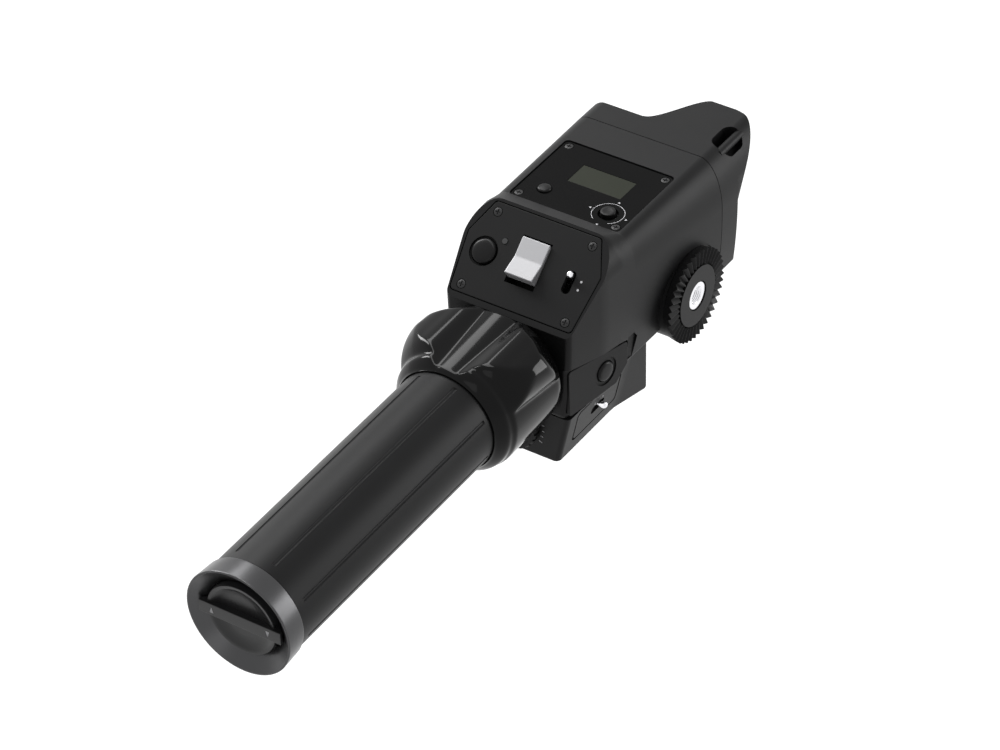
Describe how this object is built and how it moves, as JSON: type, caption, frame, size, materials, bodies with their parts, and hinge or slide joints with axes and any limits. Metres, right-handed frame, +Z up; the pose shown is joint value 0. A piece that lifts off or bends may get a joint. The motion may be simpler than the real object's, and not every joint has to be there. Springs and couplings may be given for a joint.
{
  "type": "zoom demand",
  "caption": "Hand grip controller for a camera lens's zoom, with a sprung twist ring, a switch body and a toothed rosette for a pan bar.",
  "frame": {"origin": "centre of the rosette's flat face, where a pan bar's clamp meets it", "axes": "+X out of the rosette, to the operator's right; +Y forward, away from the grip; +Z up"},
  "size_m": [0.0704, 0.2911, 0.0863],
  "materials": {
    "shell": "matte black paint, fine texture",
    "plate": "matte dark grey",
    "gloss": "polished black",
    "glass": "clear over grey-green",
    "sleeve": "black anodised satin",
    "dark_metal": "dark anodised, half gloss",
    "bright": "polished",
    "steel": "turned",
    "alloy": "plain machined",
    "bronze": "turned",
    "black_steel": "blackened",
    "white": "smooth white",
    "board": "green circuit board",
    "nylon": "natural nylon",
    "friction": "friction lining",
    "lamp": "tinted lens, unlit"
  },
  "bodies": {
    "housing": {"body_shell": "shell", "front_cap": "shell", "rosette_mount": "shell", "lower_block": "shell", "switch_plate": "plate", "side_plate": "plate", "rocker_housing": "plate", "extender_toggle_body": "plate", "lower_toggle_body": "plate", "lcd_module": "plate", "joystick_body": "plate", "lens_socket_insulator": "plate", "display_panel": "gloss", "display_window": "glass", "grip_sleeve": "sleeve", "end_ring": "dark_metal", "rosette_insert": "bright", "lens_socket_shell": "steel", "grip_spine": "steel", "rocker_pin": "steel", "encoder": "steel", "centring_spring": "steel", "friction_spring": "steel", "dial_potentiometer": "steel", "rear_bulkhead": "alloy", "front_bulkhead": "alloy", "grip_rear_plug": "alloy", "grip_front_plug": "alloy", "hub_bush": "bronze", "switch_screw_upper_left": "black_steel", "switch_screw_upper_right": "black_steel", "switch_screw_lower_left": "black_steel", "switch_screw_lower_right": "black_steel", "display_screw_near_left": "black_steel", "display_screw_near_right": "black_steel", "display_screw_far_left": "black_steel", "display_screw_far_right": "black_steel", "display_board": "board", "switch_board": "board", "side_switch_board": "board", "main_board": "board", "friction_disc": "friction", "status_lamp": "lamp"},
    "zoom_ring": {"twist_ring": "gloss", "ring_hub": "alloy", "drive_gear": "nylon"},
    "sensor_wheel": {"sensor_pinion": "nylon"},
    "tension_knob": {"torque_knob": "dark_metal", "torque_shaft": "steel"},
    "tension_nut": {"torque_nut": "bronze"},
    "rocker_paddle": {"rocker": "white"},
    "function_key": {"function_button": "gloss"},
    "extender_lever": {"extender_toggle": "bright"},
    "display_key": {"display_button": "gloss"},
    "stick_gimbal": {"joystick_gimbal": "steel"},
    "stick_cap": {"joystick_cap": "gloss"},
    "side_key": {"side_button": "gloss"},
    "lower_lever": {"lower_toggle": "bright"},
    "dial": {"speed_dial": "gloss"}
  },
  "joints": [
    {"name": "ring_turn", "type": "hinge", "parent": "housing", "child": "zoom_ring", "pos_m": [-0.03659, -0.0335, 0.00357], "axis": [0, 0.9999, 0.0141], "range_deg": [-45, 45], "stiffness_Nm_per_rad": 0.15},
    {"name": "sensor_turn", "type": "hinge", "parent": "housing", "child": "sensor_wheel", "pos_m": [-0.02205, -0.03336, -0.00661], "axis": [0, 0.9999, 0.0141], "range_deg": [-142, 142]},
    {"name": "tension_turn", "type": "hinge", "parent": "housing", "child": "tension_knob", "pos_m": [-0.03659, -0.0335, 0.00357], "axis": [0, 0.9999, 0.0141], "range_deg": [-135, 135]},
    {"name": "tension_travel", "type": "slide", "parent": "housing", "child": "tension_nut", "axis": [0, 0.9999, 0.0141], "range_m": [-0.00057, 0.00057]},
    {"name": "rocker_tilt", "type": "hinge", "parent": "housing", "child": "rocker_paddle", "pos_m": [-0.03719, -0.05307, 0.03318], "axis": [1, 0, 0], "range_deg": [0, 19]},
    {"name": "function_press", "type": "slide", "parent": "housing", "child": "function_key", "axis": [0, 0.6551, -0.7555], "range_m": [0, 0.0008], "stiffness_N_per_m": 1200},
    {"name": "extender_throw", "type": "hinge", "parent": "housing", "child": "extender_lever", "pos_m": [-0.01939, -0.05366, 0.03173], "axis": [1, 0, 0], "range_deg": [0, 48]},
    {"name": "display_press", "type": "slide", "parent": "housing", "child": "display_key", "axis": [0, 0, -1], "range_m": [0, 0.0005], "stiffness_N_per_m": 1200},
    {"name": "stick_fore_aft", "type": "hinge", "parent": "housing", "child": "stick_gimbal", "pos_m": [-0.02249, -0.0253, 0.0411], "axis": [1, 0, 0], "range_deg": [-7, 7], "stiffness_Nm_per_rad": 0.01},
    {"name": "stick_sideways", "type": "hinge", "parent": "stick_gimbal", "child": "stick_cap", "pos_m": [-0.02249, -0.0253, 0.0411], "axis": [0, 1, 0], "range_deg": [-7, 7], "stiffness_Nm_per_rad": 0.01},
    {"name": "side_press", "type": "slide", "parent": "housing", "child": "side_key", "axis": [-0.99, 0.141, 0], "range_m": [0, 0.0008], "stiffness_N_per_m": 1200},
    {"name": "lower_throw", "type": "hinge", "parent": "housing", "child": "lower_lever", "pos_m": [-0.01788, -0.0485, -0.02325], "axis": [-0.2282, 0, -0.9736], "range_deg": [0, 40]},
    {"name": "dial_turn", "type": "hinge", "parent": "housing", "child": "dial", "pos_m": [-0.03659, -0.0705, -0.0238], "axis": [0, 1, 0], "range_deg": [-140, 140]}
  ],
  "couplings": [
    {"joint": "sensor_turn", "follows": "ring_turn", "ratio": -3.1429},
    {"joint": "tension_travel", "follows": "tension_turn", "m_per_rad": 0.00023873}
  ]
}
